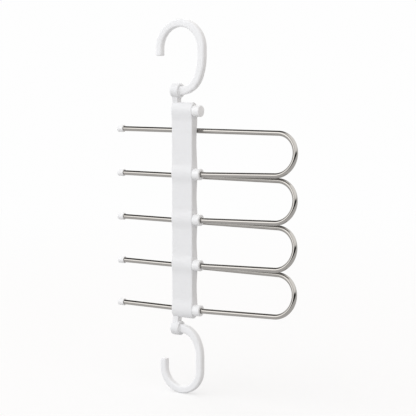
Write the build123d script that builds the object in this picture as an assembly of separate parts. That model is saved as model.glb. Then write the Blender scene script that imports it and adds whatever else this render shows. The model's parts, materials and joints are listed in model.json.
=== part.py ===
from build123d import *
from math import asin, cos, degrees, radians, sin
import os

# Trouser hanger for a wardrobe rail: a moulded spine with a swivel hook at each
# end and four swing-out steel tubes that give five trouser tiers.
# X runs along the trouser rods, Z is up and -Y faces the viewer. Lengths are mm.
# The model is laid out from the middle of the spine at the lowest tier, and is
# saved from the crown of the top hook, where the rail carries it.

# Spine: two scalloped mouldings, thick round each cross bore and slim between
SPINE_WIDTH = 30.0
TIER_PITCH = 56.0
TUBE_TIERS = 4
PLUG_HEIGHT = 244.8
FRONT_BULGE = 8.8
BACK_BULGE = 7.3
WAIST = 5.5
END_RISE = 0.7
WALL = 2.0
CAVITY_WIDTH = 24.0
COVER_WIDTH = 26.2
COVER_GAP = 0.1
EDGE_ROUND = 1.2

# Tubes: polished steel, each with an upper rod, a U bend and a hinged lower leg
TUBE_RADIUS = 3.2
TUBE_WALL = 0.6
BEND_RADIUS = 25.2
BEND_X = 127.2
LEG_RISE = 1.8
LEG_BEND_RADIUS = 300.0
ROD_BACK = 10.0
ROD_LEFT = -106.4
LOWEST_ROD_LEFT = -99.6
RUNNING_FIT = 0.1

# Collars, plug and caps
COLLAR_RADIUS = 7.0
COLLAR_LENGTH = 8.5
PLUG_LENGTH = 10.0
SHANK_RADIUS = 4.3
BOSS_RADIUS = 5.2
BOSS_END = 6.0
CAP_RADIUS = 4.5
CAP_LENGTH = 9.5
CAP_WALL = 1.6

# Hooks and the barrels that they turn in
BARREL_X = -11.5
BARREL_LENGTH = 10.0
BARREL_RADIUS = 8.8
BARREL_RISE = 24.6
BORE_RADIUS = 6.3
HOOK_THICKNESS = 8.8
HOOK_HALF_ROOT = 5.25
HOOK_ROUND = 3.2

# Hook outlines from root to tip: straights (length, 0) and arcs (radius, turn)
TOP_OUTER = [(1.0, 0), (34.8, 70), (80.9, 20), (5.6, 0), (36.1, 180), (9.3, 0)]
TOP_INNER = [(1.0, 0), (23.3, 70), (69.1, 20), (6.4, 0), (25.4, 180), (9.6, 0)]
BOTTOM_OUTER = [(4.2, 0), (29.4, 62), (50.2, 28), (17.4, 0), (31.9, 180), (12.3, 0)]
BOTTOM_INNER = [(4.2, 0), (18.6, 62), (40.0, 28), (17.6, 0), (21.9, 180), (12.3, 0)]

tier_heights = [TIER_PITCH * (TUBE_TIERS - 1 - i) for i in range(TUBE_TIERS)]
bulge_heights = sorted(tier_heights) + [PLUG_HEIGHT]
side = SPINE_WIDTH / 2
barrel_mouth = BARREL_X + BARREL_LENGTH / 2
hook_root = barrel_mouth - 1.0


def along_x(radius, start, end, y=0.0, z=0.0):
    """A round bar parallel to X."""
    disc = Plane.YZ.offset(start) * Pos(y, z) * Circle(radius)
    return extrude(disc, amount=end - start)


def box_between(low, high):
    """A box from its lowest corner to its highest."""
    size = [b - a for a, b in zip(low, high)]
    middle = [(a + b) / 2 for a, b in zip(low, high)]
    return Pos(*middle) * Box(*size)


def chain(start, heading, steps):
    """Tangent straights (length, 0) and arcs (radius, turn in degrees)."""
    edges = []
    point = Vector(*start)
    tangent = Vector(*heading)
    for size, turn in steps:
        if turn:
            edge = JernArc(point, tangent, size, turn)
        else:
            edge = Line(point, point + tangent * size)
        edges.append(edge)
        point = edge @ 1
        tangent = edge % 1
    return edges


def spine_side(inset, width, back_inset=None):
    """The scalloped side view of the spine, drawn in by an inset and made solid."""
    behind = inset if back_inset is None else back_inset
    top_waist = (bulge_heights[-2] + TIER_PITCH / 2, PLUG_HEIGHT - TIER_PITCH / 2)
    front = []
    back = []
    for low, high in zip(bulge_heights, bulge_heights[1:]):
        waists = [(low + high) / 2] if high < PLUG_HEIGHT else top_waist
        front += [(inset - FRONT_BULGE, low)] + [(inset - WAIST, z) for z in waists]
        back += [(BACK_BULGE - behind, low)] + [(WAIST - behind, z) for z in waists]
    front.append((inset - FRONT_BULGE, PLUG_HEIGHT))
    back.append((BACK_BULGE - behind, PLUG_HEIGHT))
    up = [(0, 1), (0, 1)]
    front_edge = Spline(*front, tangents=up)
    back_edge = Spline(*back, tangents=up)
    depth = back[0][0] - front[0][0]
    rise = Line(front[-1], (front[-1][0], PLUG_HEIGHT + END_RISE))
    top = chain(rise @ 1, (0, 1), [(depth / 2, -180), (END_RISE, 0)])
    bottom = chain(front[0], (0, -1), [(END_RISE, 0), (depth / 2, 180), (END_RISE, 0)])
    face = make_face([front_edge, rise, *top, back_edge, *bottom])
    return extrude(Plane.YZ.offset(-width / 2) * face, amount=width)


def back_band(width, grow):
    """The window in the back of the spine, which the back cover fills."""
    window = box_between(
        (-width / 2, 0, -3.4 - grow),
        (width / 2, BACK_BULGE + 1, PLUG_HEIGHT + 3.4 + grow),
    )
    return spine_side(0, width) & window


# The arm's own frame: its plane leans back, so that the rod lies behind the spine
rise_angle = radians(LEG_RISE)
leg_start = side + COLLAR_LENGTH + 2
leg_turn = LEG_BEND_RADIUS * sin(rise_angle)
leg_run = BEND_X - leg_start - leg_turn + BEND_RADIUS * sin(rise_angle)
leg_step = LEG_BEND_RADIUS * (1 - cos(rise_angle))
leg_climb = leg_step + leg_run * sin(rise_angle) / cos(rise_angle)
rod_reach = leg_climb + BEND_RADIUS * (1 + cos(rise_angle))
lean = degrees(asin(ROD_BACK / rod_reach))
rod_rise = rod_reach * cos(radians(lean))


def rod_height(tier):
    """Height of a tube's upper rod above the lowest tier."""
    return tier_heights[tier] + rod_rise


def neck(root, barrel):
    """The flared web between an end of the spine and its hook barrel."""
    left = -side + 0.2
    right = left + 7.4
    flare = 3.5
    foot = [(left, root), (left, barrel), (right, barrel), (right, root + flare)]
    edges = [Line(a, b) for a, b in zip(foot, foot[1:])]
    edges += chain(foot[-1], (0, -1), [(flare, 90)])
    edges.append(Line(edges[-1] @ 1, foot[0]))
    return extrude(Plane.XZ * make_face(edges), amount=4.6, both=True)


def hook_barrel(height):
    """A short blind barrel along X, with a groove for the hook's snap bead."""
    start = BARREL_X - BARREL_LENGTH / 2
    body = along_x(BARREL_RADIUS, start, barrel_mouth, z=height)
    rims = body.edges().filter_by(GeomType.CIRCLE).sort_by(Axis.X)
    body = fillet(rims[:1], 2.2)
    body = fillet(body.edges().filter_by(GeomType.CIRCLE).sort_by(Axis.X)[-1:], 0.9)
    bore = along_x(BORE_RADIUS, start + 2.1, barrel_mouth + 1, z=height)
    groove = along_x(BORE_RADIUS + 0.5, start + 3.4, start + 5.2, z=height)
    return body, bore + groove


def spine_shell():
    """The one-piece front of the spine, with its necks, barrels and bearing bosses."""
    outer = spine_side(0, SPINE_WIDTH)
    long_edges = outer.edges().filter_by(Plane.YZ).group_by(Axis.X)
    outer = fillet(long_edges[0] + long_edges[-1], EDGE_ROUND)
    shell = outer - spine_side(WALL, CAVITY_WIDTH)
    shell -= back_band(COVER_WIDTH, COVER_GAP) - spine_side(WALL, SPINE_WIDTH)
    inside = spine_side(WALL - 0.2, CAVITY_WIDTH + 0.4, WALL + COVER_GAP)
    for height in bulge_heights:
        boss = along_x(BOSS_RADIUS, BOSS_END, side - 1, z=height)
        rib = box_between((1.2, -FRONT_BULGE, height - 4), (3.0, BACK_BULGE, height + 4))
        if height == bulge_heights[0]:
            rib = along_x(BOSS_RADIUS, 1 - side, 2.4, z=height)
        shell += (boss + rib) & inside
    for height in screw_heights():
        post = Pos(0, 0, height) * Rot(X=90) * Cylinder(3.2, 2 * WAIST)
        shell += post & inside
    for height in bulge_heights:
        shell -= along_x(SHANK_RADIUS, BOSS_END - 1, side + 1, z=height)
    shell -= along_x(TUBE_RADIUS + RUNNING_FIT, -side - 1, BOSS_END)
    for height in screw_heights():
        shell -= Pos(0, 0.7, height) * Rot(X=90) * Cylinder(1.0, 8)
    for tier in range(TUBE_TIERS):
        shell -= along_x(TUBE_RADIUS + 0.3, -side - 1, side + 1, ROD_BACK, rod_height(tier))
    top, top_bore = hook_barrel(PLUG_HEIGHT + BARREL_RISE)
    web = neck(PLUG_HEIGHT + 4, PLUG_HEIGHT + BARREL_RISE)
    shell += top + (web - spine_side(WALL, CAVITY_WIDTH))
    shell -= top_bore
    low, low_bore = hook_barrel(BARREL_RISE)
    low_web = neck(4, BARREL_RISE) - spine_side(WALL, CAVITY_WIDTH).mirror(Plane.XY)
    turned = (low + low_web - low_bore).mirror(Plane.XY)
    return shell + turned


def screw_heights():
    """The cover screws stand midway between the cross bores."""
    return [(a + b) / 2 for a, b in zip(bulge_heights, bulge_heights[1:])]


def spine_back_cover():
    """The strip that closes the back, with a half-round seat for each rod."""
    cover = back_band(COVER_WIDTH - 2 * COVER_GAP, 0) - spine_side(WALL, SPINE_WIDTH)
    for tier in range(TUBE_TIERS):
        height = rod_height(tier)
        for middle in (-7.5, 7.5):
            cover += box_between(
                (middle - 1.5, WAIST - WALL + 0.3, height - 5.4),
                (middle + 1.5, ROD_BACK, height + 5.4),
            )
    cover -= spine_side(WALL, SPINE_WIDTH)
    for tier in range(TUBE_TIERS):
        cover -= along_x(TUBE_RADIUS + 0.3, -side, side, ROD_BACK, rod_height(tier))
    for height in screw_heights():
        hole = Pos(0, WAIST, height) * Rot(X=90)
        cover -= hole * Cylinder(1.3, 10)
        cover -= Pos(0, WAIST - 0.8, height) * Rot(X=-90) * Cone(1.3, 2.9, 1.8)
    return cover


def cover_screw(height):
    """A countersunk self-tapping screw with a cross slot."""
    head = Pos(0, WAIST - 0.8, height) * Rot(X=-90) * Cone(1.0, 2.5, 1.5)
    stem = Pos(0, WAIST - 4.2, height) * Rot(X=90) * Cylinder(0.98, 6.2)
    slot = Pos(0, WAIST, height) * (Box(3.0, 1.4, 0.6) + Box(0.6, 1.4, 3.0))
    return head + stem - slot


def collar(height):
    """A bushing pressed into the side wall, in which a tube's lower leg turns."""
    head = along_x(COLLAR_RADIUS, side + 0.4, side + COLLAR_LENGTH, z=height)
    head = fillet(head.edges().filter_by(GeomType.CIRCLE).sort_by(Axis.X)[-1:], 1.0)
    neck_ring = along_x(COLLAR_RADIUS - 0.6, side, side + 1, z=height)
    shank = along_x(SHANK_RADIUS - 0.01, BOSS_END, side + 1, z=height)
    bore = along_x(TUBE_RADIUS + RUNNING_FIT, 0, side + COLLAR_LENGTH + 1, z=height)
    mouth_end = side + COLLAR_LENGTH
    mouth = Plane.YZ.offset(mouth_end - 1.8) * Pos(0, height) * Circle(4.0)
    return head + neck_ring + shank - bore - extrude(mouth, amount=2)


def top_plug():
    """The blank plug that closes the uppermost cross bore."""
    head = along_x(COLLAR_RADIUS, side + 0.4, side + PLUG_LENGTH, z=PLUG_HEIGHT)
    head = fillet(head.edges().filter_by(GeomType.CIRCLE).sort_by(Axis.X)[-1:], 0.8)
    neck_ring = along_x(COLLAR_RADIUS - 0.6, side, side + 1, z=PLUG_HEIGHT)
    shank = along_x(SHANK_RADIUS - 0.01, BOSS_END, side + 1, z=PLUG_HEIGHT)
    return head + neck_ring + shank


def tube(tier):
    """One bent tube: lower leg in the collar, U bend, and upper rod behind the spine."""
    lowest = tier == TUBE_TIERS - 1
    inner_end = LOWEST_ROD_LEFT if lowest else BOSS_END - 2.0
    leg = leg_run / cos(rise_angle)
    steps = [
        (leg_start - inner_end, 0),
        (LEG_BEND_RADIUS, LEG_RISE),
        (leg, 0),
        (BEND_RADIUS, 180 - LEG_RISE),
        (BEND_X - ROD_LEFT, 0),
    ]
    leaning = Plane(
        origin=(0, 0, tier_heights[tier]),
        x_dir=(1, 0, 0),
        z_dir=(0, -cos(radians(lean)), sin(radians(lean))),
    )
    path = leaning * Wire(chain((inner_end, 0), (1, 0), steps))
    section = Plane.YZ.offset(inner_end) * Pos(0, tier_heights[tier])
    outer = sweep(section * Circle(TUBE_RADIUS), path=path)
    return outer - sweep(section * Circle(TUBE_RADIUS - TUBE_WALL), path=path)


def end_cap(left, y, height):
    """A blind push-on cap for the free end of a rod."""
    start = left - CAP_WALL
    body = along_x(CAP_RADIUS, start, start + CAP_LENGTH, y, height)
    ends = body.edges().filter_by(GeomType.CIRCLE).sort_by(Axis.X)
    body = fillet(ends[:1], 2.0)
    body = fillet(body.edges().filter_by(GeomType.CIRCLE).sort_by(Axis.X)[-1:], 0.5)
    bore = along_x(TUBE_RADIUS, left, left + CAP_LENGTH, y, height)
    rim = start + CAP_LENGTH
    mouth = along_x(TUBE_RADIUS + 0.7, rim - 1.2, rim + 1, y, height)
    return body - bore - mouth


def leg_stop(tier):
    """What keeps a lower leg from pulling out of its collar, inside the spine."""
    height = tier_heights[tier]
    if tier == TUBE_TIERS - 1:
        ring = along_x(4.9, 2.7, BOSS_END - 0.3, z=height)
        return ring - along_x(TUBE_RADIUS, 0, BOSS_END, z=height)
    head = along_x(4.7, BOSS_END - 2.6, BOSS_END - 0.3, z=height)
    head -= along_x(TUBE_RADIUS, BOSS_END - 2.0, BOSS_END, z=height)
    return head + along_x(TUBE_RADIUS - TUBE_WALL, BOSS_END - 2.5, BOSS_END + 6, z=height)


def hook(outer_steps, inner_steps, tip_round):
    """A moulded hook in the X-Z plane, with a shank that snaps into its barrel."""
    outer = chain((hook_root, -HOOK_HALF_ROOT), (1, 0), outer_steps)
    inner = chain((hook_root, HOOK_HALF_ROOT), (1, 0), inner_steps)
    foot = Line((hook_root, -HOOK_HALF_ROOT), (hook_root, HOOK_HALF_ROOT))
    tip = Line(outer[-1] @ 1, inner[-1] @ 1)
    face = make_face([foot, *outer, tip, *inner])
    corners = face.vertices().sort_by_distance(tip @ 0.5)[:2]
    face = fillet(corners, tip_round)
    bar = extrude(Plane.XZ * face, amount=HOOK_THICKNESS / 2, both=True)
    long_edges = bar.edges().filter_by(Plane.XZ)
    bar = fillet(long_edges, HOOK_ROUND)
    start = BARREL_X - BARREL_LENGTH / 2
    shank = along_x(BORE_RADIUS - RUNNING_FIT, start + 2.4, hook_root + 0.3)
    bead = along_x(BORE_RADIUS + 0.3, start + 3.8, start + 4.8)
    return bar + shank + bead


def top_hook():
    """The larger hook, which goes over the rail."""
    return Pos(0, 0, PLUG_HEIGHT + BARREL_RISE) * hook(TOP_OUTER, TOP_INNER, 2.6)


def bottom_hook():
    """The narrower hook at the foot, which also takes the rail when both are used."""
    return Pos(0, 0, -BARREL_RISE) * Rot(X=180) * hook(BOTTOM_OUTER, BOTTOM_INNER, 3.6)


def rail_seat(inner_steps):
    """The highest point of a hook's inner crown, from its barrel's axis."""
    crown = chain((hook_root, HOOK_HALF_ROOT), (1, 0), inner_steps)[-2]
    return crown @ 0.5


seat = rail_seat(TOP_INNER)
seat_height = PLUG_HEIGHT + BARREL_RISE + seat.Y


def save(name, shape):
    """Write one piece, moved so that the rail seat of the top hook is the origin."""
    export_step(Pos(-seat.X, 0, -seat_height) * shape, f"parts/{name}.step")


os.makedirs("parts", exist_ok=True)
save("spine_shell", spine_shell())
save("spine_back_cover", spine_back_cover())
save("cover_screws", Compound([cover_screw(height) for height in screw_heights()]))
save("top_plug", top_plug())
save("top_hook", top_hook())
save("bottom_hook", bottom_hook())
for tier in range(TUBE_TIERS):
    number = tier + 1
    save(f"collar_{number + 1}", collar(tier_heights[tier]))
    save(f"tube_{number}", tube(tier))
    save(f"leg_stop_{number}", leg_stop(tier))
    save(f"end_cap_{number}", end_cap(ROD_LEFT, ROD_BACK, rod_height(tier)))
save(f"end_cap_{TUBE_TIERS + 1}", end_cap(LOWEST_ROD_LEFT, 0, 0))
print("arm lean", round(lean, 3), "rod rise", round(rod_rise, 3))
print("top seat", seat.X, seat_height, "bottom seat", rail_seat(BOTTOM_INNER))
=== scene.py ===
import json
from math import asin, ceil, cos, degrees, pi, radians, sin, tan

import bmesh
import bpy
from mathutils import Matrix, Vector


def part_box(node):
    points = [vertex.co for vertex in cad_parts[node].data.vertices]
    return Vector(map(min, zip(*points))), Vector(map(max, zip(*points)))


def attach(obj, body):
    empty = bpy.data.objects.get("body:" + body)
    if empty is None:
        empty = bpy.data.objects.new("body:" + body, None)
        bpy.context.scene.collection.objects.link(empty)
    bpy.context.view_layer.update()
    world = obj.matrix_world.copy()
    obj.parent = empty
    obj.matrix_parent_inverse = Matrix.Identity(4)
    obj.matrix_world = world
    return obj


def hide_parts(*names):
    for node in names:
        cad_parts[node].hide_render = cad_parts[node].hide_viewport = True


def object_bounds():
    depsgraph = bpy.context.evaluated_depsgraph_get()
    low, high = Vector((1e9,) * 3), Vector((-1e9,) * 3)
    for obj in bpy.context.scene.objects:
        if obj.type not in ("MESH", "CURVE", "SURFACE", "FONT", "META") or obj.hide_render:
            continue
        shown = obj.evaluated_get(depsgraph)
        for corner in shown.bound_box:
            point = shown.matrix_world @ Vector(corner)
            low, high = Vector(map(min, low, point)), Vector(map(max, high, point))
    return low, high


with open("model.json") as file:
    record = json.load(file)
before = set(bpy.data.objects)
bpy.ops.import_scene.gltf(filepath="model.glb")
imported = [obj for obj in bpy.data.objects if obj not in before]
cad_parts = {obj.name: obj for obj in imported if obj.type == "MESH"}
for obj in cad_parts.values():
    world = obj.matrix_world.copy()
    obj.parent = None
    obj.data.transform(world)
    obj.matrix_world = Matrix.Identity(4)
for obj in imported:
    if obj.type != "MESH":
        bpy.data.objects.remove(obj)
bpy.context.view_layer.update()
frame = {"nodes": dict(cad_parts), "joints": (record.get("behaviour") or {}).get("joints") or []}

# Spine shell
# The front half of the spine: one white polypropylene moulding that swells at each cross
# bore, with the two hook barrels on short webs. It comes out of the mould with a satin
# face and a faint unevenness of gloss along its length.
mm = 0.001
SATIN_WHITE = (0.895, 0.9, 0.912)
PLASTIC_IOR = 1.49
NOISE_MIDDLE = (0.3, 0.7)
FLOW_SCALE = 38
GRAIN_SCALE = 1500
GRAIN_HEIGHT = 0.003 * mm
GLOSS_SWING = 0.04
WELD = 0.004 * mm
SHELL_CREASE = 32
SLICE_STEP = 2.0 * mm
SLICE_MARGIN = 0.01 * mm
SWELL_LENGTH = 13.5 * mm
SWELL_RISE = 1.6 * mm
WAIST_DEPTH = 5.5 * mm
STILL_DEPTH = 2.0 * mm
SKIN_DEPTH = 2.1 * mm
END_LIFT = 1.8 * mm
LIFT_LENGTH = 7.0 * mm
WEB_START = 9.5 * mm
WEB_LENGTH = 6.0 * mm


def middle_z(node):
    """The height of the middle of a CAD node."""
    return sum(corner.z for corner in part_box(node)) / 2


tier_z = [middle_z(f"collar_{k}") for k in (2, 3, 4, 5)]
plug_z = middle_z("top_plug")
bore_z = sorted([*tier_z, plug_z])


def connect(tree, node, inputs):
    """Gives inputs, by name or number, a value or the output of another node."""
    for key, value in inputs.items():
        if isinstance(value, bpy.types.NodeSocket):
            tree.links.new(value, node.inputs[key])
        else:
            node.inputs[key].default_value = value


def add_node(tree, kind, inputs=None, **settings):
    """A new node with its settings and its inputs."""
    node = tree.nodes.new(kind)
    for name, value in settings.items():
        setattr(node, name, value)
    connect(tree, node, inputs or {})
    return node


def add_math(tree, operation, *values):
    """The result of a math node."""
    return add_node(tree, "ShaderNodeMath", dict(enumerate(values)), operation=operation).outputs[0]


def add_range(tree, value, start, end=(0, 1), interpolation="LINEAR"):
    """A value moved from the range start to the range end."""
    limits = {"From Min": start[0], "From Max": start[1], "To Min": end[0], "To Max": end[1]}
    made = add_node(tree, "ShaderNodeMapRange", {"Value": value, **limits}, interpolation_type=interpolation)
    return made.outputs["Result"]


def new_group(name, inputs, outputs):
    """A shader node group with named sockets, and its two end nodes."""
    group = bpy.data.node_groups.new(name, "ShaderNodeTree")
    for socket, kind, value in inputs:
        made = group.interface.new_socket(name=socket, in_out="INPUT", socket_type=kind)
        made.default_value = value
    for socket, kind in outputs:
        group.interface.new_socket(name=socket, in_out="OUTPUT", socket_type=kind)
    start = group.nodes.new("NodeGroupInput")
    end = group.nodes.new("NodeGroupOutput")
    return group, start, end


def new_material(name):
    """A material with its node tree and its Principled shader."""
    material = bpy.data.materials.new(name)
    material.use_nodes = True
    return material, material.node_tree, material.node_tree.nodes["Principled BSDF"]


def moulded_surface():
    """Slow changes of tone and gloss, and the fine grain of a moulded face."""
    group, given, made = new_group(
        "moulded_surface",
        [
            ("Color", "NodeSocketColor", (0.8, 0.8, 0.8, 1)),
            ("Tone", "NodeSocketFloat", 0.03),
            ("Gloss", "NodeSocketFloat", 0.35),
            ("Grain", "NodeSocketFloat", 0.1),
        ],
        [("Color", "NodeSocketColor"), ("Roughness", "NodeSocketFloat"), ("Normal", "NodeSocketVector")],
    )
    place = add_node(group, "ShaderNodeTexCoord").outputs["Object"]
    flow = add_node(group, "ShaderNodeTexNoise", {"Vector": place, "Scale": FLOW_SCALE, "Detail": 3})
    grain = add_node(group, "ShaderNodeTexNoise", {"Vector": place, "Scale": GRAIN_SCALE, "Detail": 2})
    darker = add_range(group, flow.outputs["Fac"], NOISE_MIDDLE, (0, given.outputs["Tone"]))
    kept = add_math(group, "SUBTRACT", 1, darker)
    dimming = {0: given.outputs["Color"], "Scale": kept}
    shaded = add_node(group, "ShaderNodeVectorMath", dimming, operation="SCALE")
    swing = add_range(group, flow.outputs["Fac"], NOISE_MIDDLE, (-GLOSS_SWING, GLOSS_SWING))
    bump = add_node(group, "ShaderNodeBump", {
        "Distance": GRAIN_HEIGHT,
        "Strength": given.outputs["Grain"],
        "Height": grain.outputs["Fac"],
    })
    connect(group, made, {
        "Color": shaded.outputs[0],
        "Roughness": add_math(group, "ADD", given.outputs["Gloss"], swing),
        "Normal": bump.outputs["Normal"],
    })
    return group


surface_group = moulded_surface()


def moulded(name, color, tone, gloss, grain):
    """A moulded plastic finish, made from the shared surface group."""
    material, tree, shader = new_material(name)
    finish = {"Color": (*color, 1), "Tone": tone, "Gloss": gloss, "Grain": grain}
    skin = add_node(tree, "ShaderNodeGroup", finish, node_tree=surface_group)
    connect(tree, shader, {
        "IOR": PLASTIC_IOR,
        "Base Color": skin.outputs["Color"],
        "Roughness": skin.outputs["Roughness"],
        "Normal": skin.outputs["Normal"],
    })
    return material


def linked(name, data):
    """A new object at the origin, in the scene."""
    piece = bpy.data.objects.new(name, data)
    bpy.context.scene.collection.objects.link(piece)
    return piece


def shade_smooth(work, crease):
    """Smooth shading, with hard edges where faces meet at more than crease degrees."""
    for face in work.faces:
        face.smooth = True
    for edge in work.edges:
        edge.smooth = edge.is_manifold and edge.calc_face_angle(0) < radians(crease)


def baked(piece):
    """The piece as a plain mesh, with its modifiers' result in it and none left."""
    graph = bpy.context.evaluated_depsgraph_get()
    mesh = bpy.data.meshes.new_from_object(piece.evaluated_get(graph))
    piece.modifiers.clear()
    piece.data = mesh
    mesh.name = piece.name
    return piece


def smoothed_node(node, name, crease, reshape=None):
    """A welded copy of a CAD node, reshaped if asked, with smooth shading."""
    copy = linked(name, frame["nodes"][node].data.copy())
    copy.data.materials.clear()
    work = bmesh.new()
    work.from_mesh(copy.data)
    bmesh.ops.remove_doubles(work, verts=work.verts, dist=WELD)
    if reshape:
        reshape(work)
    shade_smooth(work, crease)
    work.to_mesh(copy.data)
    work.free()
    weighted = copy.modifiers.new("weighted", "WEIGHTED_NORMAL")
    weighted.keep_sharp = True
    return baked(copy)


def dress(piece, body, slot, material, *nodes):
    """Gives a finished piece its material and body, and hides the CAD nodes that it stands for. The slot is
    not used.
    """
    if not piece.data.materials:
        piece.data.materials.append(material)
    piece.data.materials[0] = material
    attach(piece, body)
    if nodes:
        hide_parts(*nodes)


def eased(share):
    """A smooth step from 0 to 1."""
    share = min(max(share, 0), 1)
    return share * share * (3 - 2 * share)


def cut_between_bores(work):
    """Cuts the shell at even heights between its bores. Gives the heights, outer bores included."""
    cuts = []
    for low, high in zip(bore_z, bore_z[1:]):
        count = round((high - low) / SLICE_STEP)
        cuts += [low + (high - low) * i / count for i in range(1, count)]
    for height in cuts:
        everything = [*work.verts, *work.edges, *work.faces]
        bmesh.ops.bisect_plane(
            work, geom=everything, dist=0.01 * SLICE_MARGIN, plane_co=(0, 0, height), plane_no=(0, 0, 1)
        )
    return [bore_z[0], *cuts, bore_z[-1]]


def swell_front(work):
    """Draws the front in to a straight line, which swells only near each cross bore."""
    levels = cut_between_bores(work)
    fronts = []
    for level in levels:
        near = [-v.co.y for v in work.verts if abs(v.co.z - level) < SLICE_MARGIN]
        fronts.append(max(near, default=0))
    end_front = max(-v.co.y for v in work.verts if abs(v.co.z - bore_z[-1]) < SLICE_STEP)
    fronts[0] = fronts[-1] = end_front
    shift = []
    for level, front in zip(levels, fronts):
        away = min(min(abs(level - z) for z in bore_z) / SWELL_LENGTH, 1)
        shift.append(front - WAIST_DEPTH - SWELL_RISE * (1 + cos(pi * away)) / 2)
    for vert in work.verts:
        z, depth = vert.co.z, -vert.co.y
        beyond = max(levels[0] - z, z - levels[-1], 0)
        if beyond:
            keep = 1 - eased((beyond - WEB_START) / WEB_LENGTH)
            moved, front = shift[0] * keep, end_front
            outward = 1 if z > levels[-1] else -1
            vert.co.z += outward * END_LIFT * eased(beyond / LIFT_LENGTH) * keep
        else:
            i = min(max(n for n, level in enumerate(levels) if level <= z), len(levels) - 2)
            part = (z - levels[i]) / (levels[i + 1] - levels[i])
            moved = shift[i] * (1 - part) + shift[i + 1] * part
            front = fronts[i] * (1 - part) + fronts[i + 1] * part
        if depth > STILL_DEPTH:
            vert.co.y += moved * min((depth - STILL_DEPTH) / (front - SKIN_DEPTH - STILL_DEPTH), 1)


spine_white = moulded("spine_white_plastic", SATIN_WHITE, tone=0.012, gloss=0.42, grain=0.02)
shell = smoothed_node("spine_shell", "spine_shell_moulding", SHELL_CREASE, swell_front)
dress(shell, "spine", "spine_white", spine_white, "spine_shell")

# Back cover
# The strip that closes the spine from behind, with half-round seats for the rods. It is
# moulded in the same white plastic as the shell.
cover = smoothed_node("spine_back_cover", "spine_back_cover_moulding", SHELL_CREASE)
dress(cover, "spine", "spine_white", spine_white, "spine_back_cover")

# Cover screws
# Four small countersunk screws that hold the back cover. They are zinc-plated, with the
# faint cloudiness that the plating bath leaves.
SCREW_CREASE = 25
CLOUD_SCALE = 900
DULL_ZINC = (0.50, 0.50, 0.49, 1)
BRIGHT_ZINC = (0.68, 0.68, 0.66, 1)
ZINC_ROUGHNESS = (0.28, 0.45)


def zinc_plate():
    """Bright zinc, cloudy in tone and polish."""
    material, tree, shader = new_material("zinc_plate")
    place = add_node(tree, "ShaderNodeTexCoord").outputs["Object"]
    cloud = add_node(tree, "ShaderNodeTexNoise", {"Vector": place, "Scale": CLOUD_SCALE}).outputs["Fac"]
    tone = add_node(tree, "ShaderNodeValToRGB", {"Fac": cloud})
    tone.color_ramp.elements[0].color = DULL_ZINC
    tone.color_ramp.elements[1].color = BRIGHT_ZINC
    connect(tree, shader, {
        "Metallic": 1,
        "Base Color": tone.outputs["Color"],
        "Roughness": add_range(tree, cloud, (0, 1), ZINC_ROUGHNESS),
    })
    return material


screws = smoothed_node("cover_screws", "cover_screw_heads", SCREW_CREASE)
dress(screws, "spine", "screw_steel", zinc_plate(), "cover_screws")

# Top plug and collars
# Fittings moulded in a glossier white plastic and pressed into the right side of the
# spine: a blank plug at the top and, below it, four collars with a countersunk mouth in
# which the lower legs of the tubes turn.
GLOSS_WHITE = (0.9, 0.903, 0.912)
# Strength of the painted glow that brightens the white fittings and hooks, their shaded sides too.
PAINTED_GLOW_STRENGTH = 0.05
FITTING_RADIUS = 7.0 * mm
FITTING_NECK = 6.4 * mm
NECK_LENGTH = 0.4 * mm
NECK_ROUND = 0.25 * mm
PLUG_LENGTH = 10.0 * mm
PLUG_ROUND = 0.8 * mm
COLLAR_LENGTH = 10.0 * mm
COLLAR_ROUND = 1.3 * mm
MOUTH_RADIUS = 3.8 * mm
MOUTH_DEPTH = 0.9 * mm
BORE_RADIUS = 3.3 * mm
SHANK_RADIUS = 4.29 * mm
SHANK_DEPTH = 9.0 * mm
TURNED_WELD = 0.001 * mm
TURNED_CREASE = 32
side_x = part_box("top_plug")[1].x - PLUG_LENGTH


def rounded(corners, steps=5):
    """An outline of (x, y, radius) corners, with each radius cut in as an arc."""
    points = []
    count = len(corners)
    for i, (x, y, radius) in enumerate(corners):
        here = Vector((x, y))
        if not radius:
            points.append(here)
            continue
        back = (Vector(corners[i - 1][:2]) - here).normalized()
        on = (Vector(corners[(i + 1) % count][:2]) - here).normalized()
        half = back.angle(on) / 2
        centre = here + (back + on).normalized() * radius / sin(half)
        first = here + back * radius / tan(half) - centre
        turn = first.angle_signed(here + on * radius / tan(half) - centre)
        for s in range(steps + 1):
            swung = first.copy()
            swung.rotate(Matrix.Rotation(-turn * s / steps, 2))
            points.append(centre + swung)
    return points


def fitting_outline(inner, shank_round, head):
    """A fitting's outline: a hidden shank, hollow to the radius inner, a neck and a head."""
    return rounded([
        (side_x - SHANK_DEPTH, inner, 0),
        (side_x - SHANK_DEPTH, SHANK_RADIUS, shank_round),
        (side_x, SHANK_RADIUS, 0),
        (side_x, FITTING_NECK, 0),
        (side_x + NECK_LENGTH, FITTING_NECK, 0),
        (side_x + NECK_LENGTH, FITTING_RADIUS, NECK_ROUND),
        *head,
    ])


def meshed(name, work, crease):
    """A bmesh as a new object with smooth shading."""
    bmesh.ops.recalc_face_normals(work, faces=work.faces)
    shade_smooth(work, crease)
    mesh = bpy.data.meshes.new(name)
    work.to_mesh(mesh)
    work.free()
    return linked(name, mesh)


def turned(name, outline, y=0.0, z=0.0, sides=56, closed=True):
    """A solid or ring turned about an X axis, from an outline of (x, radius) points."""
    work = bmesh.new()
    rings = []
    for s in range(sides):
        a = 2 * pi * s / sides
        rings.append([work.verts.new((p[0], y + p[1] * cos(a), z + p[1] * sin(a))) for p in outline])
    spans = len(outline) if closed else len(outline) - 1
    for s in range(sides):
        here, on = rings[s], rings[(s + 1) % sides]
        for i in range(spans):
            j = (i + 1) % len(outline)
            work.faces.new((here[i], here[j], on[j], on[i]))
    bmesh.ops.remove_doubles(work, verts=work.verts, dist=TURNED_WELD)
    bmesh.ops.dissolve_degenerate(work, edges=work.edges, dist=TURNED_WELD / 2)
    return meshed(name, work, TURNED_CREASE)


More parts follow.
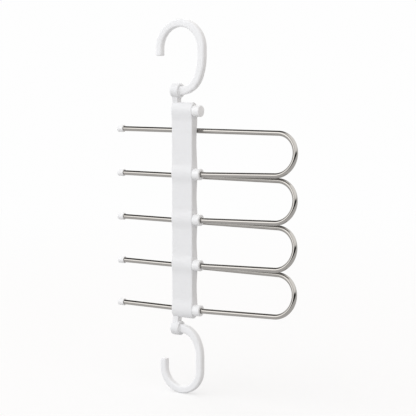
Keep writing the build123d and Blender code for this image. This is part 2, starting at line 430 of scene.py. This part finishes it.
def painted_glow(material):
    """Painted light: a faint white glow added to the plastic, standing in for light that the thin plastic
    lets through, too faint to be sampled as a lamp.
    """
    shader = material.node_tree.nodes["Principled BSDF"]
    connect(material.node_tree, shader, {"Emission Color": (1, 1, 1, 1), "Emission Strength": PAINTED_GLOW_STRENGTH})
    material.cycles.emission_sampling = "NONE"


fitting_white = moulded("fitting_white_plastic", GLOSS_WHITE, tone=0.008, gloss=0.33, grain=0.01)
# The fittings get a faint painted glow, which lifts their shaded sides.
painted_glow(fitting_white)
plug_outline = fitting_outline(0, 0.5 * mm, [
    (side_x + PLUG_LENGTH, FITTING_RADIUS, PLUG_ROUND),
    (side_x + PLUG_LENGTH, 0, 0),
])
plug = turned("top_plug_knob", plug_outline, z=plug_z, closed=False)
dress(plug, "spine", "fitting_white", fitting_white, "top_plug")


def geometry_tree(name, inputs):
    """A geometry node tree with named inputs, and its two end nodes."""
    tree = bpy.data.node_groups.new(name, "GeometryNodeTree")
    for socket, kind in inputs:
        tree.interface.new_socket(name=socket, in_out="INPUT", socket_type=kind)
    tree.interface.new_socket(name="Geometry", in_out="OUTPUT", socket_type="NodeSocketGeometry")
    return tree, tree.nodes.new("NodeGroupInput"), tree.nodes.new("NodeGroupOutput")


def finish_geometry(tree, geometry, material, made):
    """Makes instances real, gives them their material and hands them to the end node."""
    real = add_node(tree, "GeometryNodeRealizeInstances", {"Geometry": geometry}).outputs["Geometry"]
    finish = add_node(tree, "GeometryNodeSetMaterial", {"Geometry": real, "Material": material})
    connect(tree, made, {"Geometry": finish.outputs["Geometry"]})


def grown(name, tree, values):
    """Runs a geometry node tree on an empty mesh and keeps the result as a plain mesh."""
    piece = linked(name, bpy.data.meshes.new(name))
    modifier = piece.modifiers.new("grow", "NODES")
    modifier.node_group = tree
    for item in tree.interface.items_tree:
        if item.in_out == "INPUT":
            modifier[item.identifier] = values[item.name]
    piece.update_tag()
    bpy.context.view_layer.update()
    return baked(piece)


def row_of_pieces():
    """One piece repeated down a line, then made real with its material."""
    tree, given, made = geometry_tree("row_of_pieces", [
        ("Piece", "NodeSocketObject"),
        ("Count", "NodeSocketInt"),
        ("Pitch", "NodeSocketFloat"),
        ("Material", "NodeSocketMaterial"),
    ])
    step = add_node(tree, "ShaderNodeCombineXYZ", {"Z": given.outputs["Pitch"]}).outputs[0]
    spots = {"Count": given.outputs["Count"], "Offset": step}
    line = add_node(tree, "GeometryNodeMeshLine", spots, mode="OFFSET")
    source = add_node(tree, "GeometryNodeObjectInfo", {"Object": given.outputs["Piece"]})
    placed = add_node(tree, "GeometryNodeInstanceOnPoints", {
        "Points": line.outputs["Mesh"],
        "Instance": source.outputs["Geometry"],
    })
    finish_geometry(tree, placed.outputs["Instances"], given.outputs["Material"], made)
    return tree


mouth_x = side_x + COLLAR_LENGTH
collar_outline = fitting_outline(BORE_RADIUS, 0.4 * mm, [
    (mouth_x, FITTING_RADIUS, COLLAR_ROUND),
    (mouth_x, MOUTH_RADIUS, 0.25 * mm),
    (mouth_x - MOUTH_DEPTH, MOUTH_RADIUS, 0.2 * mm),
    (mouth_x - MOUTH_DEPTH, BORE_RADIUS, 0.1 * mm),
])
lowest_collar = turned("lowest_collar", collar_outline, z=tier_z[-1])
collars = grown("swivel_collars", row_of_pieces(), {
    "Piece": lowest_collar,
    "Count": len(tier_z),
    "Pitch": tier_z[-2] - tier_z[-1],
    "Material": fitting_white,
})
bpy.data.objects.remove(lowest_collar)
dress(collars, "spine", "fitting_white", fitting_white, "collar_2", "collar_3", "collar_4", "collar_5")

# Barrel rims
# The mouths of the two hook barrels, part of the spine's moulding, which stand out
# around the hooks' shanks with a softly rounded edge.
BARREL_LENGTH = 10.0 * mm
RIM_OVERLAP = 1.6 * mm
RIM_LENGTH = 2.1 * mm
RIM_RADIUS = 8.82 * mm
RIM_BORE = 6.3 * mm
barrel_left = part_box("spine_shell")[0].x
barrel_mouth = barrel_left + BARREL_LENGTH
pivots = {joint["child"]: joint["pos_m"][2] for joint in frame["joints"]}
rim_outline = rounded([
    (barrel_mouth - RIM_OVERLAP, RIM_BORE, 0),
    (barrel_mouth - RIM_OVERLAP, RIM_RADIUS, 0),
    (barrel_mouth + RIM_LENGTH, RIM_RADIUS, 0.9 * mm),
    (barrel_mouth + RIM_LENGTH, RIM_BORE, 0.3 * mm),
])
for name in ("top_hook", "bottom_hook"):
    rim = turned(f"{name}_barrel_rim", rim_outline, z=pivots[name])
    dress(rim, "spine", "spine_white", spine_white)

# Hooks
# Two one-piece mouldings. Each turns in its barrel on a round shank with a snap bead,
# from which its bar of rounded rectangular section grows.
HOOK_THICKNESS = 8.8 * mm
HOOK_HALF_ROOT = 5.25 * mm
HOOK_ROOT = 11.2 * mm
HOOK_ROUND = 2.3 * mm
HOOK_LEAST_ROUND = 1.2 * mm
TIP_ROUND = 1.7 * mm
TIP_SHARPENING = 0.6
FIRST_RING = 0.5 * mm
HOOK_WELD = 0.002 * mm
HOOK_CREASE = 40
# The outer and inner outlines are straights (mm, 0) and arcs (radius in mm, turn in
# degrees). They turn alike, so that the bar is lofted between them, point by point.
HOOK_OUTLINES = {
    "top_hook": (
        [(1.0, 0), (32.6, 70), (79.0, 20), (8.2, 0), (35.4, 180), (9.3, 0)],
        [(2.3, 0), (21.3, 70), (69.4, 20), (8.0, 0), (26.1, 180), (9.0, 0)],
    ),
    "bottom_hook": (
        [(1.0, 0), (29.6, 62), (49.0, 28), (17.2, 0), (31.0, 180), (10.4, 0)],
        [(2.5, 0), (19.6, 62), (35.3, 28), (18.4, 0), (22.2, 180), (10.3, 0)],
    ),
}
# The shank's (distance from the barrel's left end, radius) in mm, with its snap bead.
SHANK = [(2.4, 5.7), (2.7, 6.2), (3.8, 6.2), (3.9, 6.6), (4.7, 6.6), (4.8, 6.2), (11.1, 6.2), (11.5, 5.9)]


def outline(start, steps, degrees_apart=2.5, straight_steps=30):
    """Points along tangent straights (length, 0) and arcs (radius, turn) in mm and degrees."""
    points = [Vector(start)]
    heading = 0.0
    for size, turn in steps:
        here = points[-1]
        if not turn:
            along = Vector((cos(heading), sin(heading))) * size * mm
            points += [here + along * s / straight_steps for s in range(1, straight_steps + 1)]
            continue
        count = ceil(turn / degrees_apart)
        centre = here + Vector((-sin(heading), cos(heading))) * size * mm
        for s in range(1, count + 1):
            a = heading + radians(turn) * s / count
            points.append(centre + Vector((sin(a), -cos(a))) * size * mm)
        heading += radians(turn)
    return points


def bar_section(half_width, half_depth, radius, corner_steps=6):
    """A rounded rectangle as (across, depth) points, running round once."""
    points = []
    for quarter in range(4):
        for s in range(corner_steps + 1):
            a = pi / 2 * (quarter + s / corner_steps)
            u = (half_width - radius) * (1 if quarter in (0, 3) else -1)
            v = (half_depth - radius) * (1 if quarter in (0, 1) else -1)
            points.append((u + radius * cos(a), v + radius * sin(a)))
    return points


def shank_rings():
    """The round rings of a shank, as (x, height, depth) points."""
    rings = []
    for x, radius in SHANK:
        circle = bar_section(radius * mm, radius * mm, radius * mm)
        rings.append([(barrel_left + x * mm, -u, v) for u, v in circle])
    return rings


def bar_rings(outer, inner):
    """The rings of a bar between its outlines, which shrink to a rounded tip."""
    rings = []
    for a, b in zip(outer, inner):
        if (a - outer[0]).length < FIRST_RING:
            continue
        middle, across = (a + b) / 2, (a - b) / 2
        left_over = (a - outer[-1]).length
        inset = 0.0
        if left_over < TIP_ROUND:
            inset = TIP_ROUND - (TIP_ROUND ** 2 - (TIP_ROUND - left_over) ** 2) ** 0.5
        half_width = across.length - inset
        radius = max(HOOK_ROUND - inset * TIP_SHARPENING, HOOK_LEAST_ROUND)
        section = bar_section(half_width, HOOK_THICKNESS / 2 - inset, min(radius, half_width - 0.01 * mm))
        across.normalize()
        rings.append([(middle.x + across.x * u, middle.y + across.y * u, v) for u, v in section])
    return rings


def hook_mesh(name, outer_steps, inner_steps, pivot_z, up):
    """A hook about its pivot; up is 1 for the top hook and -1 for the bottom one."""
    root_x = barrel_left + HOOK_ROOT
    outer = outline((root_x, -HOOK_HALF_ROOT), outer_steps)
    inner = outline((root_x, HOOK_HALF_ROOT), inner_steps)
    work = bmesh.new()
    made = []
    for ring in shank_rings() + bar_rings(outer, inner):
        made.append([work.verts.new((x, -v * up, pivot_z + up * z)) for x, z, v in ring])
    for here, on in zip(made, made[1:]):
        for i in range(len(here)):
            j = (i + 1) % len(here)
            work.faces.new((here[i], here[j], on[j], on[i]))
    work.faces.new(made[0])
    work.faces.new(made[-1])
    bmesh.ops.remove_doubles(work, verts=work.verts, dist=HOOK_WELD)
    return meshed(name, work, HOOK_CREASE)


hook_white = moulded("hook_white_plastic", SATIN_WHITE, tone=0.01, gloss=0.4, grain=0.01)
# The hooks get the same faint painted glow, which lifts their shaded sides.
painted_glow(hook_white)
for node, up in (("top_hook", 1), ("bottom_hook", -1)):
    bar = hook_mesh(f"{node}_moulding", *HOOK_OUTLINES[node], pivots[node], up)
    dress(bar, node, "hook_white", hook_white, node)

# Tubes
# Four lengths of thin polished stainless tube, each bent once into a U on a mandrel.
# The upper rod passes behind the spine and the lower leg turns in a collar. Polishing
# leaves fine lines along the tube.
TUBE_RADIUS = 3.2 * mm
TUBE_SIDES = 48
BEND_RADIUS = 25.2 * mm
BEND_OUT = 127.2 * mm
LEG_RISE = radians(1.8)
LEG_BEND_RADIUS = 300 * mm
LEG_INNER = 4.0 * mm
LEG_CLEAR = 10.5 * mm
ROD_BACK = 10.0 * mm
SPINE_HALF = 15.0 * mm
CAP_WALL = 1.6 * mm
STEEL_COLOR = (0.365, 0.352, 0.335)
LINE_SHADE = 0.93
LINE_STRETCH = (12, 1400, 1400)
POLISH_SCALE = 45
STEEL_ROUGHNESS = (0.06, 0.09)
LINE_HEIGHT = 0.002 * mm
LINE_STRENGTH = 0.02
spine_x = side_x - SPINE_HALF
leg_start = side_x + LEG_CLEAR - spine_x
leg_turn = LEG_BEND_RADIUS * sin(LEG_RISE)
leg_run = BEND_OUT - leg_start - leg_turn + BEND_RADIUS * sin(LEG_RISE)
leg_climb = LEG_BEND_RADIUS * (1 - cos(LEG_RISE)) + leg_run * tan(LEG_RISE)
rod_reach = leg_climb + BEND_RADIUS * (1 + cos(LEG_RISE))
lean = asin(ROD_BACK / rod_reach)
rod_end = {k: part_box(f"end_cap_{k}")[0].x + CAP_WALL for k in range(1, 6)}


def polished_steel():
    """Stainless steel with fine lines along the tube and slow changes of polish."""
    material, tree, shader = new_material("polished_tube_steel")
    unrolled = add_node(tree, "ShaderNodeAttribute", attribute_name="unrolled").outputs["Vector"]
    stretched = add_node(tree, "ShaderNodeMapping", {"Vector": unrolled, "Scale": LINE_STRETCH})
    strands = {"Vector": stretched.outputs["Vector"], "Scale": 1, "Detail": 3}
    lines = add_node(tree, "ShaderNodeTexNoise", strands).outputs["Fac"]
    cloud = add_node(tree, "ShaderNodeTexNoise", {"Vector": unrolled, "Scale": POLISH_SCALE})
    tone = add_node(tree, "ShaderNodeMix", {
        "Factor": lines,
        "A": (*[c * LINE_SHADE for c in STEEL_COLOR], 1),
        "B": (*STEEL_COLOR, 1),
    }, data_type="RGBA")
    bump = add_node(tree, "ShaderNodeBump", {
        "Strength": LINE_STRENGTH,
        "Distance": LINE_HEIGHT,
        "Height": lines,
    })
    connect(tree, shader, {
        "Metallic": 1,
        "Base Color": tone.outputs["Result"],
        "Roughness": add_range(tree, cloud.outputs["Fac"], NOISE_MIDDLE, STEEL_ROUGHNESS),
        "Normal": bump.outputs["Normal"],
    })
    return material


def captured(tree, geometry, kind, name, value):
    """Keeps a value on a geometry. Gives the node, with the outputs Geometry and name."""
    keep = tree.nodes.new("GeometryNodeCaptureAttribute")
    keep.capture_items.new(kind, name)
    connect(tree, keep, {"Geometry": geometry, name: value})
    return keep


def tube_tree():
    """A tube along a curve, which keeps its unrolled place in an attribute."""
    tree, given, made = geometry_tree("drawn_tube", [
        ("Path", "NodeSocketObject"),
        ("Radius", "NodeSocketFloat"),
        ("Sides", "NodeSocketInt"),
        ("Material", "NodeSocketMaterial"),
    ])
    path = add_node(tree, "GeometryNodeObjectInfo", {"Object": given.outputs["Path"]})
    length = add_node(tree, "GeometryNodeSplineParameter").outputs["Length"]
    along = captured(tree, path.outputs["Geometry"], "FLOAT", "Length", length)
    circle = add_node(tree, "GeometryNodeCurvePrimitiveCircle", {
        "Resolution": given.outputs["Sides"],
        "Radius": given.outputs["Radius"],
    })
    place = add_node(tree, "GeometryNodeInputPosition").outputs["Position"]
    around = captured(tree, circle.outputs["Curve"], "VECTOR", "Place", place)
    swept = add_node(tree, "GeometryNodeCurveToMesh", {
        "Fill Caps": True,
        "Curve": along.outputs["Geometry"],
        "Profile Curve": around.outputs["Geometry"],
    })
    split = add_node(tree, "ShaderNodeSeparateXYZ", {0: around.outputs["Place"]})
    joined = add_node(tree, "ShaderNodeCombineXYZ", {
        "X": along.outputs["Length"],
        "Y": split.outputs["X"],
        "Z": split.outputs["Y"],
    })
    store = add_node(tree, "GeometryNodeStoreNamedAttribute", {
        "Name": "unrolled",
        "Geometry": swept.outputs["Mesh"],
        "Value": joined.outputs[0],
    }, data_type="FLOAT_VECTOR")
    smooth = add_node(tree, "GeometryNodeSetShadeSmooth", {"Geometry": store.outputs["Geometry"]})
    finish_geometry(tree, smooth.outputs["Geometry"], given.outputs["Material"], made)
    return tree


def tube_path(name, inner_x, rod_x, height):
    """The centreline of a tube, as a curve in the arm's leaning plane."""
    steps = [
        ((leg_start - inner_x) / mm, 0),
        (LEG_BEND_RADIUS / mm, degrees(LEG_RISE)),
        (leg_run / cos(LEG_RISE) / mm, 0),
        (BEND_RADIUS / mm, 180 - degrees(LEG_RISE)),
        ((BEND_OUT - rod_x) / mm, 0),
    ]
    flat = outline((inner_x, 0), steps, straight_steps=24)
    curve = bpy.data.curves.new(name, "CURVE")
    curve.dimensions = "3D"
    line = curve.splines.new("POLY")
    line.points.add(len(flat) - 1)
    for point, (x, up) in zip(line.points, flat):
        point.co = (spine_x + x, up * sin(lean), height + up * cos(lean), 1)
    return linked(name, curve)


tube_steel = polished_steel()
drawn_tube = tube_tree()
for k, height in enumerate(tier_z, 1):
    inner_x = LEG_INNER if k < 4 else rod_end[5] - spine_x
    path = tube_path(f"tube_path_{k}", inner_x, rod_end[k] - spine_x, height)
    bent = grown(f"polished_tube_{k}", drawn_tube, {
        "Path": path,
        "Radius": TUBE_RADIUS,
        "Sides": TUBE_SIDES,
        "Material": tube_steel,
    })
    bpy.data.objects.remove(path)
    dress(bent, f"arm_{k}", "tube_steel", tube_steel, f"tube_{k}")

# End caps
# Blind caps pushed over the free ends of the rods, moulded in the same glossier white
# as the collars, with a well-rounded blind end and a thin lip at the mouth.
CAP_RADIUS = 4.5 * mm
CAP_LENGTH = 9.5 * mm
CAP_ROUND = 2.2 * mm
CAP_SIDES = 48
for k in range(1, 6):
    low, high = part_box(f"end_cap_{k}")
    left, y, z = low.x, (low.y + high.y) / 2, (low.z + high.z) / 2
    mouth = left + CAP_LENGTH
    cap_outline = rounded([
        (left, 0, 0),
        (left, CAP_RADIUS, CAP_ROUND),
        (mouth, CAP_RADIUS, 0.5 * mm),
        (mouth, TUBE_RADIUS, 0.2 * mm),
        (left + CAP_WALL, TUBE_RADIUS, 0),
        (left + CAP_WALL, 0, 0),
    ])
    cap = turned(f"rod_end_cap_{k}", cap_outline, y, z, sides=CAP_SIDES, closed=False)
    dress(cap, f"arm_{min(k, 4)}", "fitting_white", fitting_white, f"end_cap_{k}")

# Leg stops
# Small flanged plastic plugs on the inner ends of the lower legs, hidden in the spine.
# They keep the tubes from being pulled out of their collars.
STOP_GREY = (0.70, 0.70, 0.70)
stop_plastic = moulded("stop_plastic", STOP_GREY, tone=0.03, gloss=0.5, grain=0.2)
for k in range(1, 5):
    stop = smoothed_node(f"leg_stop_{k}", f"leg_stop_plug_{k}", SHELL_CREASE)
    dress(stop, f"arm_{k}", "stop_plastic", stop_plastic, f"leg_stop_{k}")

# Floor
# A wide white sweep that fades into the white background and keeps the soft contact
# shadow of the bottom hook, which touches it.
# The paper fades into plain white between these two distances from the origin.
FADE = (0.5, 2.2)
FLOOR_SIZE = 8.0
PAPER = (0.5, 0.5, 0.5, 1)
PAPER_GLOW = 0.51
PLAIN_WHITE = 0.99
floor_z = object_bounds()[0].z


def add_measure(tree, operation, *vectors):
    """A number from a vector math node, such as a length or a dot product."""
    made = add_node(tree, "ShaderNodeVectorMath", dict(enumerate(vectors)), operation=operation)
    return made.outputs["Value"]


def add_mix(tree, factor, first, second):
    """A mix of two shaders."""
    return add_node(tree, "ShaderNodeMixShader", {"Fac": factor, 1: first, 2: second}).outputs[0]


def any_ray(tree, *kinds):
    """1 for rays of the given kinds, such as Camera, and 0 for all others."""
    rays = add_node(tree, "ShaderNodeLightPath")
    seen = rays.outputs[f"Is {kinds[0]} Ray"]
    for kind in kinds[1:]:
        seen = add_math(tree, "MAXIMUM", seen, rays.outputs[f"Is {kind} Ray"])
    return seen


def sweep_white():
    """White paper near the object, plain white background beyond it."""
    material, tree, shader = new_material("white_sweep")
    tree.nodes.remove(shader)
    material.cycles.emission_sampling = "NONE"
    paper = add_node(tree, "ShaderNodeBsdfDiffuse", {"Color": PAPER}).outputs[0]
    glow = add_node(tree, "ShaderNodeEmission", {"Strength": PAPER_GLOW}).outputs[0]
    plain = add_node(tree, "ShaderNodeEmission", {"Strength": PLAIN_WHITE}).outputs[0]
    lifted = add_node(tree, "ShaderNodeAddShader", {0: paper, 1: glow}).outputs[0]
    place = add_node(tree, "ShaderNodeTexCoord").outputs["Object"]
    fade = add_range(tree, add_measure(tree, "LENGTH", place), FADE, interpolation="SMOOTHSTEP")
    faded = add_mix(tree, fade, lifted, plain)
    chosen = add_mix(tree, any_ray(tree, "Camera", "Glossy", "Transmission"), paper, faded)
    connect(tree, tree.nodes["Material Output"], {"Surface": chosen})
    return material


half = FLOOR_SIZE / 2
floor_mesh = bpy.data.meshes.new("floor")
floor_corners = [(sx * half, sy * half, floor_z) for sx, sy in ((-1, -1), (1, -1), (1, 1), (-1, 1))]
floor_mesh.from_pydata(floor_corners, [], [(0, 1, 2, 3)])
floor_mesh.materials.append(sweep_white())
floor = linked("floor", floor_mesh)

# Studio
# A white room without lamps. Its light is bright and a little cool from the front left,
# dimmer and warm from the back right. Glossy faces see it as a pale room with a few soft
# windows and one long dark strip, which the polished tubes draw out into lines.
FRONT_FILL = (1.48, 1.485, 1.50, 1)
DIM_FILL = (0.63, 0.595, 0.565, 1)
DIM_SIDE = (0.75, 0.66, 0)
SIDE_FADE = (-0.6, 0.6)
TOP_FILL = 0.85
TOP_FADE = (0.1, 0.9)
ROOM_TINT = (1.0, 0.995, 0.985, 1)
LOW_ROOM = 0.88
HIGH_ROOM = 1.0
WALL_FADE = (-0.15, 0.25)
SEEN_WHITE = (PLAIN_WHITE, PLAIN_WHITE, PLAIN_WHITE, 1)
# Azimuth from the front, elevation, half sizes across and up, and tilt, all in degrees,
# then the softness of the edge and the level. A later window covers an earlier one.
ROOM_WINDOWS = {
    "dark corner, upper left": (-105, 58, 38, 22, 0, 0.35, 0.06),
    "skylight, upper right": (90, 58, 62, 34, 0, 0.25, 1.75),
    "wall, back right": (135, 4, 50, 14, 0, 0.5, 1.20),
    "window, back left": (-148, 12, 14, 20, 0, 0.5, 1.9),
    "grey strip, left": (-80, 7, 42, 5, 0, 0.4, 0.6),
    "low light, front left": (-50, -10, 16, 6, 0, 0.5, 1.15),
    "long dark strip, front": (30, 9, 68, 11, -9, 0.35, 0.03),
    "window, front left": (-31, 20, 12, 18, 0, 0.4, 2.8),
}


def room_window():
    """One soft-edged oval patch of the reflected room, laid over what is there."""
    group, given, made = new_group(
        "room_window",
        [
            ("Room", "NodeSocketFloat", 1.0),
            ("Direction", "NodeSocketVector", (0, 0, 1)),
            ("Toward", "NodeSocketVector", (0, 0, 1)),
            ("Across", "NodeSocketVector", (1, 0, 0)),
            ("Upward", "NodeSocketVector", (0, 1, 0)),
            ("Softness", "NodeSocketFloat", 0.3),
            ("Level", "NodeSocketFloat", 1.0),
        ],
        [("Room", "NodeSocketFloat")],
    )
    direction, softness = given.outputs["Direction"], given.outputs["Softness"]
    offsets = add_node(group, "ShaderNodeCombineXYZ", {
        "X": add_measure(group, "DOT_PRODUCT", direction, given.outputs["Across"]),
        "Y": add_measure(group, "DOT_PRODUCT", direction, given.outputs["Upward"]),
    })
    reach = add_measure(group, "LENGTH", offsets.outputs[0])
    facing = add_measure(group, "DOT_PRODUCT", direction, given.outputs["Toward"])
    ahead = add_math(group, "GREATER_THAN", facing, 0)
    outer = add_math(group, "ADD", 1, softness)
    inner = add_math(group, "SUBTRACT", 1, softness)
    edge = add_range(group, reach, (outer, inner), interpolation="SMOOTHSTEP")
    laid = add_node(group, "ShaderNodeMix", {
        "Factor": add_math(group, "MULTIPLY", edge, ahead),
        "A": given.outputs["Room"],
        "B": given.outputs["Level"],
    })
    connect(group, made, {"Room": laid.outputs["Result"]})
    return group


def room_level(tree, direction, height):
    """The brightness of the reflected room: its walls, with the windows laid over them."""
    level = add_range(tree, height, WALL_FADE, (LOW_ROOM, HIGH_ROOM), "SMOOTHSTEP")
    window = room_window()
    for azimuth, elevation, half_across, half_up, tilt, softness, brightness in ROOM_WINDOWS.values():
        a, e = radians(azimuth), radians(elevation)
        toward = Vector((sin(a) * cos(e), -cos(a) * cos(e), sin(e)))
        across = Vector((cos(a), sin(a), 0))
        across.rotate(Matrix.Rotation(-radians(tilt), 3, toward))
        patch = add_node(tree, "ShaderNodeGroup", {
            "Room": level,
            "Direction": direction,
            "Toward": toward,
            "Across": across / sin(radians(half_across)),
            "Upward": across.cross(toward) / sin(radians(half_up)),
            "Softness": softness,
            "Level": brightness,
        }, node_tree=window)
        level = patch.outputs["Room"]
    return level


def studio_world():
    """White to the camera; a room of soft windows for reflections; even fill."""
    world = bpy.data.worlds.new("studio")
    bpy.context.scene.world = world
    world.use_nodes = True
    tree = world.node_tree
    direction = add_node(tree, "ShaderNodeTexCoord").outputs["Generated"]
    height = add_node(tree, "ShaderNodeSeparateXYZ", {0: direction}).outputs["Z"]
    aside = add_measure(tree, "DOT_PRODUCT", direction, DIM_SIDE)
    tinted = add_node(tree, "ShaderNodeMix", {
        "Factor": add_range(tree, aside, SIDE_FADE, interpolation="SMOOTHSTEP"),
        "A": FRONT_FILL,
        "B": DIM_FILL,
    }, data_type="RGBA")
    fill = tree.nodes["Background"]
    connect(tree, fill, {
        "Color": tinted.outputs["Result"],
        "Strength": add_range(tree, height, TOP_FADE, (1, TOP_FILL), "SMOOTHSTEP"),
    })
    room = add_node(tree, "ShaderNodeBackground", {
        "Color": ROOM_TINT,
        "Strength": room_level(tree, direction, height),
    })
    white = add_node(tree, "ShaderNodeBackground", {"Color": SEEN_WHITE})
    lit = add_mix(tree, any_ray(tree, "Glossy"), fill.outputs[0], room.outputs[0])
    shown = add_mix(tree, any_ray(tree, "Camera", "Transmission"), lit, white.outputs[0])
    connect(tree, tree.nodes["World Output"], {"Surface": shown})


studio_world()

# Camera
# A long lens a little above the middle of the object, to the right of its front. The
# lens is given by its length in pixels, for a square picture of FRAME_PIXELS.
AZIMUTH = radians(33)
ELEVATION = radians(6.03)
DISTANCE = 1.6117
FOCAL_PIXELS = 1327.1
FRAME_PIXELS = 416
SENSOR = 36
TARGET_RIGHT = 34.66 * mm
TARGET_UP = 127.65 * mm
camera_data = bpy.data.cameras.new("camera")
camera_data.sensor_width = SENSOR
camera_data.lens = FOCAL_PIXELS / FRAME_PIXELS * SENSOR
camera = linked("camera", camera_data)
target = Vector((spine_x + TARGET_RIGHT, 0, tier_z[-1] + TARGET_UP))
back = Vector((sin(AZIMUTH) * cos(ELEVATION), -cos(AZIMUTH) * cos(ELEVATION), sin(ELEVATION)))
camera.location = target + back * DISTANCE
camera.rotation_euler = (-back).to_track_quat("-Z", "Y").to_euler()
bpy.context.scene.camera = camera
bpy.context.scene.view_settings.view_transform = "Standard"
